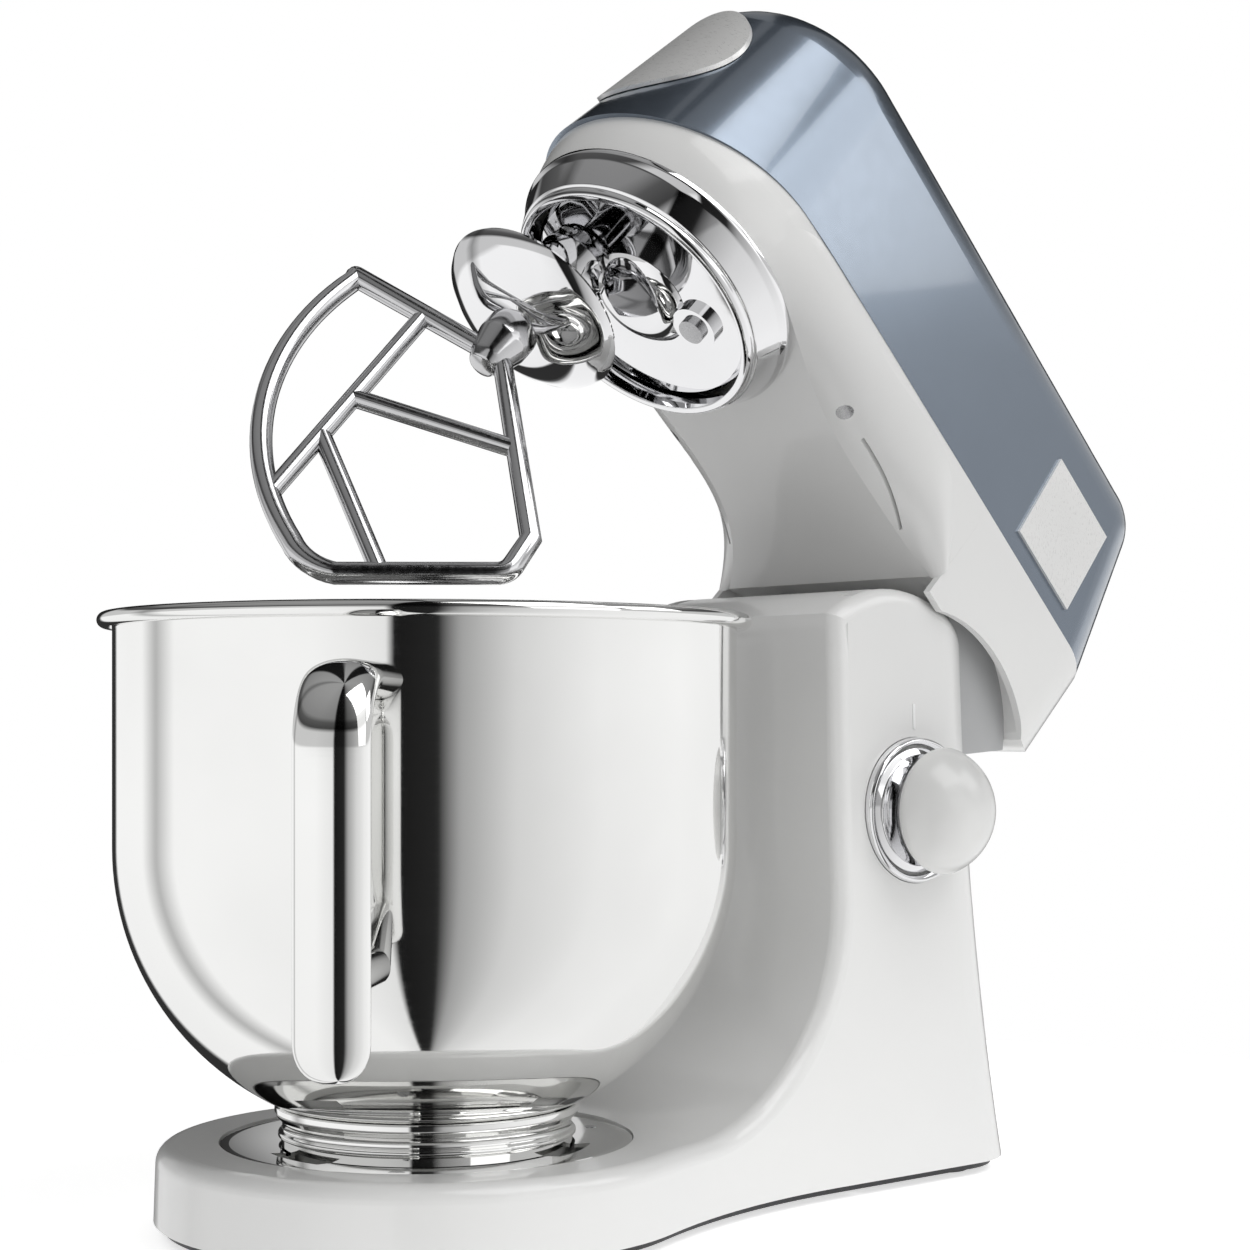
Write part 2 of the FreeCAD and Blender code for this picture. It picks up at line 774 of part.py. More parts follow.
def hinge_arm():
    """One arm: an eye on the pin, a bar up through the casing floor and a foot above it."""
    half = ARM_T / 2
    hinge = (HINGE_Y, HINGE_Z)
    reach = (CAVITY_FLOOR + 2 - HINGE_Z) / math.sin(math.radians(ARM_LEAN))
    near_front = polar(ARM_HALF, ARM_LEAN + 90, hinge)
    near_rear = polar(ARM_HALF, ARM_LEAN - 90, hinge)
    far_front = polar(reach, ARM_LEAN, near_front)
    far_rear = polar(reach, ARM_LEAN, near_rear)
    bar = across(near_front, [far_front, far_rear, near_rear], half)
    bar = bar.cut(block((-ARM_T, 0, CAVITY_FLOOR + 2), (ARM_T, HEAD_REAR, SEAM_Z)))
    foot_x, foot_y = ARM_FOOT
    foot = block((-foot_x, foot_y[0], CAVITY_FLOOR), (foot_x, foot_y[1], CAVITY_FLOOR + 4))
    shape = fused(cross_rod(ARM_EYE, -half, half), bar, foot).cut(cross_rod(BUSH_R, -ARM_T, ARM_T))
    return moved(shape, ARM_X)


def hinge_arms():
    return both_sides(hinge_arm())


def cover_sector(first, last, spare):
    """Sector about the hinge between two angles, with room to spare all round."""
    inner = COVER_R[0] - spare
    outer = COVER_R[1] + 20
    hinge = (HINGE_Y, HINGE_Z)
    middle = (first + last) / 2
    steps = [
        polar(outer, first, hinge),
        (polar(outer, middle, hinge), polar(outer, last, hinge)),
        polar(inner, last, hinge),
        (polar(inner, middle, hinge), polar(inner, first, hinge)),
    ]
    half = (COVER_X[1] - COVER_X[0]) / 2 + spare
    return moved(across(polar(inner, first, hinge), steps, half), (COVER_X[0] + COVER_X[1]) / 2)


def cover_slots():
    """Room in the column for the cover plates from head down to head up."""
    return both_sides(cover_sector(0, COVER_SWEEP + HEAD_TILT + 4, 0.7))


def hinge_cover():
    """Plates under the rear of the head that close the gap behind the column."""
    wide = HEAD_HALF
    plate = cover_sector(HEAD_TILT + 4, HEAD_TILT + COVER_SWEEP, 0)
    behind = block((0, HEAD_REAR - 12, 0), (wide, HEAD_REAR + 80, SHELL_TOP))
    hollow = cross_rod(DOME_R + HOLLOW_GAP, 0, wide, DOME_Y, DOME_Z)
    outside = cross_rod(CHEEK_R + 40, 0, wide).cut(hollow)
    return both_sides(trimmed(plate, behind, outside))


def arm_bushes():
    half = ARM_T / 2
    bush = cross_rod(BUSH_R, -half, half).cut(cross_rod(PIN_R + RUNNING, -20, 20))
    return both_sides(moved(bush, ARM_X))


def casing_screw():
    column = upright(SCREW_R, VENT_X, SCREW_Y, 200, 241)
    return column.common(belly_mass())


def casing_screws():
    return both_sides(casing_screw())


def rear_vent():
    low, high = REAR_VENT_Z
    frame = block((-REAR_VENT_HALF, HEAD_REAR - 3, low), (REAR_VENT_HALF, HEAD_REAR, high))
    for step in range(-5, 6):
        middle = step * 3.6
        slot = block((middle - 1, HEAD_REAR - 1.5, low + 1), (middle + 1, HEAD_REAR + 1, high - 1))
        frame = frame.cut(slot)
    return frame


def head_casing():
    top = SEAM_Z + SEAM_SPARE
    cavity = belly_mass(CASING_WALL, top + 2)
    inner = HEAD_HALF - CASING_WALL
    rear = Part.Face(head_outline(CAVITY_FLOOR, CASING_WALL, HEAD_REAR - CASING_WALL))
    rear = rear.extrude(Vector(0, 0, 40)).common(block((-inner, NECK_Y - 4, 0), (inner, 300, 400)))
    shape = fused(belly_mass(0, top), neck_mass(top))
    shape = trimmed(shape, cavity, rear, above_seam())
    slit = block((VENT_X - VENT_WIDE / 2, VENT_Y[0], 200), (VENT_X + VENT_WIDE / 2, VENT_Y[1], 245))
    low, high = REAR_VENT_Z
    vent_seat = block((-REAR_VENT_HALF, HEAD_REAR - 3, low), (REAR_VENT_HALF, HEAD_REAR + 5, high))
    shape = trimmed(
        shape,
        upright(HUB_HOLE, 0, 0, 200, SEAM_Z),
        both_sides(slit),
        hinge_arms(),
        casing_screws(),
        vent_seat,
    )
    return shape.removeSplitter()


# Planetary hub


def hub_trim_ring():
    outline = [
        (RING_TOP_R, HUB_TOP),
        (RING_TOP_R, HUB_TOP - 1.5),
        (RING_END_R + 0.8, HUB_END + 0.8),
        (RING_END_R - 0.4, HUB_END),
        (RING_INNER, HUB_END),
    ]
    return turned((RING_INNER, HUB_TOP), outline)


def gear_outline(teeth, sign, z):
    """Toothed outline. A sign of 1 points the teeth outwards, and -1 inwards."""
    pitch = GEAR_MODULE * teeth / 2
    tip = pitch + sign * ADDENDUM * GEAR_MODULE
    root = pitch - sign * DEDENDUM * GEAR_MODULE
    step = 360 / teeth
    points = []
    for tooth in range(teeth):
        middle = tooth * step
        points.append(polar(root, middle - step * TOOTH_ROOT / 2))
        points.append(polar(tip, middle - step * TOOTH_TIP / 2))
        points.append(polar(tip, middle + step * TOOTH_TIP / 2))
        points.append(polar(root, middle + step * TOOTH_ROOT / 2))
    return closed_wire(level(z), points[0], points[1:])


def ring_gear():
    rim = upright(HUB_HOLE - 0.1, 0, 0, GEAR_Z, GEAR_Z + GEAR_H)
    teeth = Part.Face(gear_outline(RING_TEETH, -1, GEAR_Z)).extrude(Vector(0, 0, GEAR_H))
    half_step = 180 / RING_TEETH
    return spun(rim.cut(teeth), TOOL_ANGLE + half_step)


def planet_gear():
    body = Part.Face(gear_outline(PLANET_TEETH, 1, GEAR_Z)).extrude(Vector(0, 0, GEAR_H))
    body = body.cut(upright(TOOL_SHAFT_R, 0, 0, GEAR_Z - 1, GEAR_Z + GEAR_H + 1))
    return at_tool(spun(body, TOOL_ANGLE))


def at_tool(shape):
    x, y = polar(TOOL_OFFSET, TOOL_ANGLE)
    return moved(shape, x, y)


def opposite(r):
    return polar(r, TOOL_ANGLE + 180)


def planet_carrier():
    """Disc under the gears with the tool bearing, a raised middle and a screw boss."""
    low, high = CARRIER_Z
    disc = turned((0, low), [(CARRIER_R - 1.5, low), (CARRIER_R, low + 1.5), (CARRIER_R, high), (0, high)])
    middle = turned((0, low), [(20, low), ((16.5, low - 3), (11, low - 4.5)), (0, low - 4.5)])
    bearing_end = HUB_END - 3
    bearing = turned((0, low), [(BEARING_R, low), (BEARING_R - 1.5, bearing_end), (0, bearing_end)])
    web = spun(block((0, -8, low - 3), (TOOL_OFFSET, 8, low)), TOOL_ANGLE)
    x, y = opposite(CARRIER_BOSS_AT)
    boss = upright(CARRIER_BOSS_R, x, y, low - 3, low)
    shape = fused(disc, middle, at_tool(bearing), web, boss)
    bore = at_tool(upright(TOOL_SHAFT_R + RUNNING, 0, 0, 190, 240))
    return trimmed(shape, bore, carrier_screw()).removeSplitter()


def carrier_screw():
    low = CARRIER_Z[0]
    x, y = opposite(CARRIER_BOSS_AT)
    return upright(5, x, y, low - 5, low - 1)


def hub_shaft():
    return upright(SHAFT_R, 0, 0, CARRIER_Z[1], SHAFT_END)


def gear_housing():
    floor = HUB_TOP + CASING_WALL
    neck_r, neck_top = HOUSING_NECK
    outline = [
        (HOUSING_R, floor),
        (HOUSING_R, HOUSING_ROOF + 3),
        ((HOUSING_R - 14, HOUSING_ROOF + 9), (neck_r + 6, HOUSING_ROOF + 12)),
        (neck_r, neck_top),
        (SHAFT_R + RUNNING, neck_top),
        (SHAFT_R + RUNNING, HOUSING_ROOF),
        (HUB_HOLE, HOUSING_ROOF),
    ]
    return turned((HUB_HOLE, floor), outline).common(belly_mass(CASING_WALL, SHELL_TOP))


# Tool


def tool_shaft():
    low, high = TOOL_SHAFT_Z
    pin = rod(CROSS_PIN_R, (-11, 0, CROSS_PIN_Z), (11, 0, CROSS_PIN_Z))
    return at_tool(fused(upright(TOOL_SHAFT_R, 0, 0, low, high), spun(pin, BEATER_TURN)))


def splash_disc():
    """Thin bell on the beater's neck, open towards the hub."""
    rim = (DISC_R, DISC_RIM_Z)
    neck = (DISC_NECK_R, DISC_NECK_Z)
    belly = (DISC_R * 0.72, DISC_RIM_Z - 9.5)
    steps = [
        (belly, neck),
        (SLEEVE_R, DISC_NECK_Z),
        (SLEEVE_R, DISC_NECK_Z + DISC_T),
        (DISC_NECK_R, DISC_NECK_Z + DISC_T),
        ((belly[0] - 0.6, belly[1] + DISC_T), (DISC_R - 0.6, DISC_RIM_Z + 1.2)),
    ]
    return at_tool(turned(rim, steps))


def beater_plane(b, a):
    return Vector(b, -BEATER_THICK / 2, BEATER_TOP - a)


def beater_bar(start, end):
    """Straight rib between two points of the beater's plane."""
    length = math.dist(start, end)
    lean = (end[0] - start[0], end[1] - start[1])
    half = BEATER_BAR / 2 - 0.5
    across_b = -lean[1] / length * half
    across_a = lean[0] / length * half
    corners = [
        (start[0] + across_b, start[1] + across_a),
        (end[0] + across_b, end[1] + across_a),
        (end[0] - across_b, end[1] - across_a),
        (start[0] - across_b, start[1] - across_a),
    ]
    wire = closed_wire(beater_plane, corners[0], corners[1:])
    return Part.Face(wire).extrude(Vector(0, BEATER_THICK, 0))


def beater():
    """Flat beater: a frame with a straight shoulder on one side and ribs across the inside."""
    steps = [
        ((-58, 62), (-10, 112)),
        ((2, 116), (14, 114)),
        (58, 82),
        ((62, 77.5), (63, 72)),
        (61.5, 58),
        (6, -4),
        (-60.5, -4),
        ((-64, -2.5), (-64.5, 2)),
    ]
    wire = closed_wire(beater_plane, (-64.5, 2), steps)
    inner = wire.makeOffset2D(-BEATER_BAR)
    through = Vector(0, BEATER_THICK, 0)
    frame = Part.Face(wire).extrude(through).cut(Part.Face(inner).extrude(through))
    ribs = [
        beater_bar((-30, 0), (-26, 98)),
        beater_bar((-28, 46), (34, 30)),
        beater_bar((-27, 66), (26, 104)),
    ]
    sleeve = upright(SLEEVE_R, 0, 0, BEATER_TOP - 8, DISC_NECK_Z)
    neck = upright(SLEEVE_R, 0, 0, DISC_NECK_Z - 1, DISC_NECK_Z + 10)
    bore = upright(TOOL_SHAFT_R, 0, 0, TOOL_SHAFT_Z[0], 220)
    shape = fused(frame, *ribs, sleeve, neck).cut(bore)
    return at_tool(spun(shape, BEATER_TURN))


# Motor and belt


def at_motor(shape):
    return moved(shape, 0, MOTOR_Y)


def motor_bracket():
    top = MOTOR_Z[0]
    under = top - BRACKET_T
    plate = block((-BRACKET_HALF, BRACKET_Y[0], under), (BRACKET_HALF, BRACKET_Y[1], top))
    legs = []
    for x in (-BRACKET_LEG_X, BRACKET_LEG_X):
        for y in BRACKET_LEG_Y:
            legs.append(upright(4, x, y, CAVITY_FLOOR, under))
    hole = upright(14, 0, MOTOR_Y, under - 1, top + 1)
    return fused(plate, *legs).cut(hole)


def motor_can():
    low, high = MOTOR_Z
    shaft = ROTOR_SHAFT_R + RUNNING
    outline = [
        (MOTOR_R, low),
        (MOTOR_R, high),
        (shaft, high),
        (shaft, high - MOTOR_CAP),
        (MOTOR_BORE, high - MOTOR_CAP),
        (MOTOR_BORE, low + MOTOR_CAP),
        (shaft, low + MOTOR_CAP),
    ]
    return at_motor(turned((shaft, low), outline))


def motor_rotor():
    low, high = MOTOR_Z
    core = upright(ROTOR_R, 0, 0, low + MOTOR_CAP + 2, high - MOTOR_CAP - 2)
    return at_motor(fused(core, upright(ROTOR_SHAFT_R, 0, 0, low, SHAFT_END)))


def pulley(r, bore):
    lip = 1.4
    outline = [
        (r, BELT_Z - 0.6),
        (r, BELT_Z + BELT_H + 0.6),
        (r + lip, BELT_Z + BELT_H + 0.6),
        (r + lip, BELT_Z + BELT_H + 1.4),
        (bore, BELT_Z + BELT_H + 1.4),
    ]
    return turned((bore, BELT_Z - 0.6), outline)


def motor_pulley():
    return at_motor(pulley(SMALL_PULLEY_R, ROTOR_SHAFT_R))


def hub_pulley():
    holes = [upright(7, *polar(21, 60 * step), BELT_Z - 5, BELT_Z + 20) for step in range(6)]
    return trimmed(pulley(BIG_PULLEY_R, SHAFT_R), *holes)


def cooling_fan():
    low, high = FAN_Z
    disc = upright(FAN_R, 0, 0, low, low + 1)
    blade = block((9, -0.6, low), (FAN_R - 1, 0.6, high))
    blades = [spun(blade, 360 / FAN_BLADES * step) for step in range(FAN_BLADES)]
    shape = fused(disc, *blades).cut(upright(ROTOR_SHAFT_R, 0, 0, low - 1, high + 1))
    return at_motor(shape)


def belt_loop(grow):
    big = BIG_PULLEY_R + BELT_GAP + grow
    small = SMALL_PULLEY_R + BELT_GAP + grow
    lift = math.degrees(math.asin((big - small) / MOTOR_Y))
    big_end = polar(big, lift)
    small_end = polar(small, lift, (0, MOTOR_Y))
    steps = [
        small_end,
        ((0, MOTOR_Y + small), (-small_end[0], small_end[1])),
        (-big_end[0], big_end[1]),
        ((0, -big), big_end),
    ]
    return Part.Face(closed_wire(level(BELT_Z), big_end, steps)).extrude(Vector(0, 0, BELT_H))


def drive_belt():
    return belt_loop(BELT_T).cut(belt_loop(0))


FIXED_PIECES = [
    base_casting, base_plate, plate_screws, rubber_feet, bowl_seat_ring, seat_screws, hinge_pin, pin_clips,
    knob_bezel, speed_switch, control_board, cord_inlet, speed_knob, knob_collar, release_lever,
    release_shaft, bowl_shell, bowl_foot, bowl_handle,
]
HEAD_PIECES = [
    head_shell, head_casing, badge_plate, hinge_cover, hinge_arms, arm_bushes, casing_screws, rear_vent,
    outlet_bush, outlet_cap, hub_trim_ring, ring_gear, gear_housing, motor_bracket, motor_can, drive_belt,
    planet_carrier, carrier_screw, hub_shaft, hub_pulley, planet_gear, tool_shaft, splash_disc, beater,
    motor_rotor, motor_pulley, cooling_fan,
]


def raised(shape):
    """Swing a head piece up about the hinge pin."""
    shape.rotate(HINGE, X_AXIS, -HEAD_TILT)
    return shape


os.makedirs("parts", exist_ok=True)
for make in FIXED_PIECES + HEAD_PIECES:
    piece = make()
    if make in HEAD_PIECES:
        piece = raised(piece)
    state = "valid" if piece.isValid() else "NOT VALID"
    print(make.__name__, state, len(piece.Solids), round(piece.Volume / 1000, 1))
    piece.exportStep("parts/" + make.__name__ + ".step")
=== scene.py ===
import math

import bmesh
import bpy
from mathutils import Matrix, Vector


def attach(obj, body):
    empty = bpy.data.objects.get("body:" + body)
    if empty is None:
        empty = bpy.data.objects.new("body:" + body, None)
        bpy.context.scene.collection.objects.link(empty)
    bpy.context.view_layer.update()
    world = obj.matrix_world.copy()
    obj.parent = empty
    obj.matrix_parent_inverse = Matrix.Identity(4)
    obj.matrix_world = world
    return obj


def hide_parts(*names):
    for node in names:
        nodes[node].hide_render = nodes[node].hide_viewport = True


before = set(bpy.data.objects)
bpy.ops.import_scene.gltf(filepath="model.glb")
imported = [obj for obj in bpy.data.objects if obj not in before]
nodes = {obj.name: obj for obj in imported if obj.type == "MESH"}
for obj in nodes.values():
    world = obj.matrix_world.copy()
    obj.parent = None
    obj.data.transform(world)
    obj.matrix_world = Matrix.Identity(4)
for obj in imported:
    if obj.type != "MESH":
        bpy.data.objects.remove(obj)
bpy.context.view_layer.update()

# Driving dimensions: lengths in millimetres, apart from HINGE and SAME_PLACE in metres, and angles
# in radians

MM = 0.001
RIGHT_ANGLE = math.pi / 2
SAME_PLACE = 1e-6

HINGE = Vector((0.0, 183.0, 157.0)) * MM
HEAD_TILT = math.radians(46)
TOOL_ANGLE = math.radians(218)
TOOL_OFFSET = 30.0

BOWL_R = 105.5
BOWL_ARC = 97.0
BOWL_ARC_Z = 129.7
BOWL_WALL = 1.2
WALL_LOW = 150.0
WALL_MIDDLE = 185.0
WALL_TOP = 202.0
WALL_TOP_INSIDE = 203.0
RIM_BEAD = 2.6
RIM_SINK = 0.1
RIM_Z = 205.4

COLLAR_IN = 47.0
COLLAR_LOW = 31.6
COLLAR_TOP = 42.2

HANDLE_TURN = math.radians(-46)
HANDLE_HALF = 5.6
HANDLE_WIDEN = 2.0
HANDLE_ROOT = 104.9
HANDLE_REACH = 153.0
HANDLE_BEND = 20.0
HANDLE_TOP = 184.0
HANDLE_LOW = 70.1
HANDLE_END = 11.0
HANDLE_END_STEPS = 8
# In degrees, for each step
HANDLE_END_TURN = 10
HANDLE_END_FULLNESS = 0.8
STUD_R = 6.5
STUD_LENGTH = 52.0
STUD_X = 124.5
STUD_Z = 98.0

HUB_IN = 47.0
HUB_LOW = 207.0
HUB_TOP = 224.0

BEATER_TURN = math.radians(44)
BEATER_TOP = 161.0
BEATER_BAR = 8.0
RIB_R = 3.4
# Ends of the ribs: distance from the shaft, and distance below the beater's top
BEATER_RIBS = [((-30, 0), (-26, 96.5)), ((-28, 46), (32, 30.5)), ((-27, 66), (25, 102))]

KNOB_Y = 180.0
KNOB_Z = 139.0
KNOB_R = 23.2
KNOB_TIP = 90.5
KNOB_EDGE = 74.5
SKIRT_LOW = 58.9
SKIRT_TOP = 72.5
WAIST_CENTRE = (31.5, 66.8)
WAIST_R = 12.0

MARK_LOW = 169.0
MARK_HIGH = 178.5
MARK_THICK = 0.5
MARK_WIDE = 1.3
MARK_EDGE = 0.2
SIDE_X = 62.0
SIDE_Z = 62.0
SIDE_LEAN = 5.0 / 164.0


# Materials

# Shares of a noise pattern where its lower and its upper tone are reached
TONE_LOW = 0.3
TONE_HIGH = 0.7


def new_material(name):
    material = bpy.data.materials.new(name)
    material.use_nodes = True
    tree = material.node_tree
    shader = tree.nodes["Principled BSDF"]
    return material, tree, shader


def object_noise(tree, scale, detail, stretch=(1, 1, 1)):
    """Noise on the piece's own coordinates, stretched along the axes that are asked for."""
    place = tree.nodes.new("ShaderNodeTexCoord")
    mapping = tree.nodes.new("ShaderNodeMapping")
    mapping.inputs["Scale"].default_value = stretch
    noise = tree.nodes.new("ShaderNodeTexNoise")
    noise.inputs["Scale"].default_value = scale
    noise.inputs["Detail"].default_value = detail
    tree.links.new(place.outputs["Object"], mapping.inputs["Vector"])
    tree.links.new(mapping.outputs["Vector"], noise.inputs["Vector"])
    return noise.outputs["Fac"]


def blend(tree, pattern, low, high, socket):
    """Leads a pattern, spread between two colours or greys, into a socket."""
    node = tree.nodes.new("ShaderNodeValToRGB")
    first, last = node.color_ramp.elements
    first.position = TONE_LOW
    first.color = low
    last.position = TONE_HIGH
    last.color = high
    tree.links.new(pattern, node.inputs["Fac"])
    tree.links.new(node.outputs["Color"], socket)


def grey(level):
    return (level, level, level, 1)


def dimmed(colour, share):
    return tuple(share * part for part in colour[:3]) + (1,)


def add_bump(tree, shader, height, strength, distance):
    bump = tree.nodes.new("ShaderNodeBump")
    bump.inputs["Strength"].default_value = strength
    bump.inputs["Distance"].default_value = distance
    tree.links.new(height, bump.inputs["Height"])
    tree.links.new(bump.outputs["Normal"], shader.inputs["Normal"])


def paint(name, colour, shade, rough, coat, metallic=0.0, peel=0.02):
    """Sprayed lacquer: faint cloudiness, a slight orange peel and a clear coat."""
    material, tree, shader = new_material(name)
    cloud = object_noise(tree, scale=9, detail=4)
    speck = object_noise(tree, scale=160, detail=2)
    skin = object_noise(tree, scale=260, detail=1)
    blend(tree, cloud, shade, colour, shader.inputs["Base Color"])
    blend(tree, speck, grey(rough * 0.94), grey(rough * 1.06), shader.inputs["Roughness"])
    add_bump(tree, shader, skin, peel, distance=0.0001)
    shader.inputs["Metallic"].default_value = metallic
    shader.inputs["Coat Weight"].default_value = coat
    shader.inputs["Coat Roughness"].default_value = 0.05
    return material


def metal(name, colour, rough, grain=(1, 1, 1), grain_scale=300, grain_bump=0.02):
    """Bare metal with fine polishing lines and a faint change of tone."""
    material, tree, shader = new_material(name)
    tone = object_noise(tree, scale=14, detail=3)
    lines = object_noise(tree, grain_scale, detail=2, stretch=grain)
    blend(tree, tone, dimmed(colour, 0.94), colour, shader.inputs["Base Color"])
    blend(tree, lines, grey(rough * 0.75), grey(rough * 1.3), shader.inputs["Roughness"])
    add_bump(tree, shader, lines, grain_bump, distance=0.0001)
    shader.inputs["Metallic"].default_value = 1.0
    return material


def plastic(name, colour, rough, grain=0.1):
    """Moulded plastic or rubber with a fine surface grain."""
    material, tree, shader = new_material(name)
    tone = object_noise(tree, scale=22, detail=3)
    speck = object_noise(tree, scale=700, detail=2)
    blend(tree, tone, dimmed(colour, 0.86), colour, shader.inputs["Base Color"])
    blend(tree, speck, grey(rough * 0.85), grey(rough * 1.15), shader.inputs["Roughness"])
    add_bump(tree, shader, speck, grain, distance=0.0002)
    return material


def silver_plate():
    """Pale pressed plate with a fine brushed grain along its length."""
    material = metal("silver_plate", (0.86, 0.86, 0.85, 1), 0.34, (1, 22, 2), 260, 0.06)
    shader = material.node_tree.nodes["Principled BSDF"]
    shader.inputs["Metallic"].default_value = 0.45
    return material


WHITE_LACQUER = paint(
    "white_lacquer", (0.80, 0.80, 0.79, 1), (0.77, 0.77, 0.765, 1), rough=0.32, coat=0.5,
)
BLUE_LACQUER = paint(
    "blue_grey_lacquer", (0.215, 0.258, 0.318, 1), (0.19, 0.23, 0.285, 1), rough=0.22, coat=0.8,
    metallic=0.85, peel=0.015,
)
POLISHED_STEEL = metal("polished_steel", (0.87, 0.87, 0.86, 1), 0.05, (1, 1, 14), 90, 0.01)
BRIGHT_CHROME = metal("bright_chrome", (0.86, 0.86, 0.87, 1), 0.04, grain_bump=0.005)
CAST_STEEL = metal("cast_steel", (0.60, 0.60, 0.61, 1), 0.13, grain_scale=420, grain_bump=0.03)
SATIN_ALUMINIUM = metal("satin_aluminium", (0.76, 0.77, 0.78, 1), 0.26, (1, 16, 16), 240, 0.05)
SILVER_PLATE = silver_plate()
BRUSHED_STEEL = metal("brushed_steel", (0.56, 0.56, 0.57, 1), 0.25, (18, 1, 18), 240, 0.05)
BUSH_BRONZE = metal("bush_bronze", (0.60, 0.42, 0.20, 1), 0.3)
CAST_ALUMINIUM = metal(
    "cast_aluminium", (0.55, 0.56, 0.57, 1), 0.45, grain_scale=500, grain_bump=0.2,
)
DARK_PLASTIC = plastic("dark_plastic", (0.030, 0.030, 0.033, 1), 0.45)
GREY_PLASTIC = plastic("grey_plastic", (0.45, 0.455, 0.46, 1), 0.42)
WHITE_PLASTIC = plastic("white_plastic", (0.80, 0.80, 0.79, 1), 0.22, grain=0.02)
PALE_NYLON = plastic("pale_nylon", (0.70, 0.69, 0.62, 1), 0.5)
MARK_WHITE = plastic("mark_white", (0.93, 0.93, 0.93, 1), 0.4, grain=0.02)
BLACK_RUBBER = plastic("black_rubber", (0.018, 0.018, 0.018, 1), 0.75, grain=0.25)
BOARD_GREEN = plastic("board_green", (0.02, 0.12, 0.05, 1), 0.3)

FINISHES = {
    WHITE_LACQUER: ["base_casting", "head_casing"],
    BLUE_LACQUER: ["head_shell"],
    POLISHED_STEEL: ["bowl_shell", "bowl_foot", "bowl_handle", "bowl_seat_ring"],
    BRIGHT_CHROME: [
        "hub_trim_ring", "knob_bezel", "knob_collar", "splash_disc", "planet_carrier", "tool_shaft",
    ],
    CAST_STEEL: ["beater"],
    SILVER_PLATE: ["badge_plate", "outlet_cap"],
    SATIN_ALUMINIUM: ["motor_pulley", "hub_pulley", "motor_bracket"],
    BRUSHED_STEEL: [
        "plate_screws", "seat_screws", "casing_screws", "carrier_screw", "hinge_pin", "pin_clips",
        "release_shaft", "hub_shaft", "motor_rotor", "hinge_arms",
    ],
    CAST_ALUMINIUM: ["motor_can", "gear_housing"],
    BUSH_BRONZE: ["arm_bushes"],
    DARK_PLASTIC: ["base_plate", "rear_vent", "cooling_fan", "speed_switch"],
    GREY_PLASTIC: ["hinge_cover", "release_lever"],
    WHITE_PLASTIC: ["speed_knob"],
    PALE_NYLON: ["ring_gear", "planet_gear", "outlet_bush"],
    BLACK_RUBBER: ["rubber_feet", "cord_inlet", "drive_belt"],
    BOARD_GREEN: ["control_board"],
}

for material, names in FINISHES.items():
    for name in names:
        mesh = nodes[name].data
        mesh.materials.clear()
        mesh.materials.append(material)


# Mesh helpers


def piece(name, bm, material, body, replaced=(), sharp=35):
    """Turns a finished bmesh into a piece of the object that moves with its body.

    Edges that turn by more than the sharp angle, in degrees, stay crisp.
    """
    mesh = bpy.data.meshes.new(name)
    bm.to_mesh(mesh)
    bm.free()
    mesh.materials.append(material)
    for face in mesh.polygons:
        face.use_smooth = True
    made = bpy.data.objects.new(name, mesh)
    bpy.context.scene.collection.objects.link(made)
    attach(made, body)
    if replaced:
        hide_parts(*replaced)
    mesh.set_sharp_from_angle(angle=math.radians(sharp))


def rotate(bm, angle, axis, centre=(0, 0, 0)):
    matrix = Matrix.Rotation(angle, 3, axis)
    bmesh.ops.rotate(bm, cent=centre, matrix=matrix, verts=bm.verts[:])


def move(bm, shift):
    """Moves a whole bmesh by a shift in millimetres."""
    bmesh.ops.translate(bm, vec=Vector(shift) * MM, verts=bm.verts[:])


def clean_up(bm):
    """Joins corners that lie on each other and turns all faces outwards."""
    bmesh.ops.remove_doubles(bm, verts=bm.verts[:], dist=SAME_PLACE)
    bmesh.ops.recalc_face_normals(bm, faces=bm.faces[:])


def profile(points, closed=False):
    """Line of vertices in the X and Z plane, given in millimetres."""
    bm = bmesh.new()
    verts = [bm.verts.new((x * MM, 0, z * MM)) for x, z in points]
    for first, second in zip(verts, verts[1:]):
        bm.edges.new((first, second))
    if closed:
        bm.edges.new((verts[-1], verts[0]))
    return bm


def soften(bm, radius, segments):
    """Rounds the corners of a profile."""
    corners = [v for v in bm.verts if len(v.link_edges) == 2]
    bmesh.ops.bevel(
        bm, geom=corners, offset=radius * MM, offset_type="OFFSET", segments=segments, profile=0.5,
        affect="VERTICES", material=-1, clamp_overlap=True,
    )


def turn(bm, steps):
    """Spins a profile about the Z axis into a closed skin."""
    bmesh.ops.spin(
        bm, geom=bm.verts[:] + bm.edges[:], cent=(0, 0, 0), axis=(0, 0, 1), angle=math.tau,
        steps=steps, use_merge=True,
    )
    clean_up(bm)


def push(bm, edges, shift):
    """Extrudes a ring of edges by a shift in millimetres and gives the new ring."""
    grown = bmesh.ops.extrude_edge_only(bm, edges=edges)["geom"]
    verts = [item for item in grown if isinstance(item, bmesh.types.BMVert)]
    bmesh.ops.translate(bm, vec=Vector(shift) * MM, verts=verts)
    moved = set(verts)
    return [edge for edge in bm.edges if edge.verts[0] in moved and edge.verts[1] in moved]


def shrink_ring(bm, ring, share):
    """Draws a level ring of edges in towards its middle."""
    verts = list(dict.fromkeys(v for edge in ring for v in edge.verts))
    middle = sum((v.co for v in verts), Vector()) / len(verts)
    bmesh.ops.scale(bm, vec=(share, share, 1), space=Matrix.Translation(-middle), verts=verts)


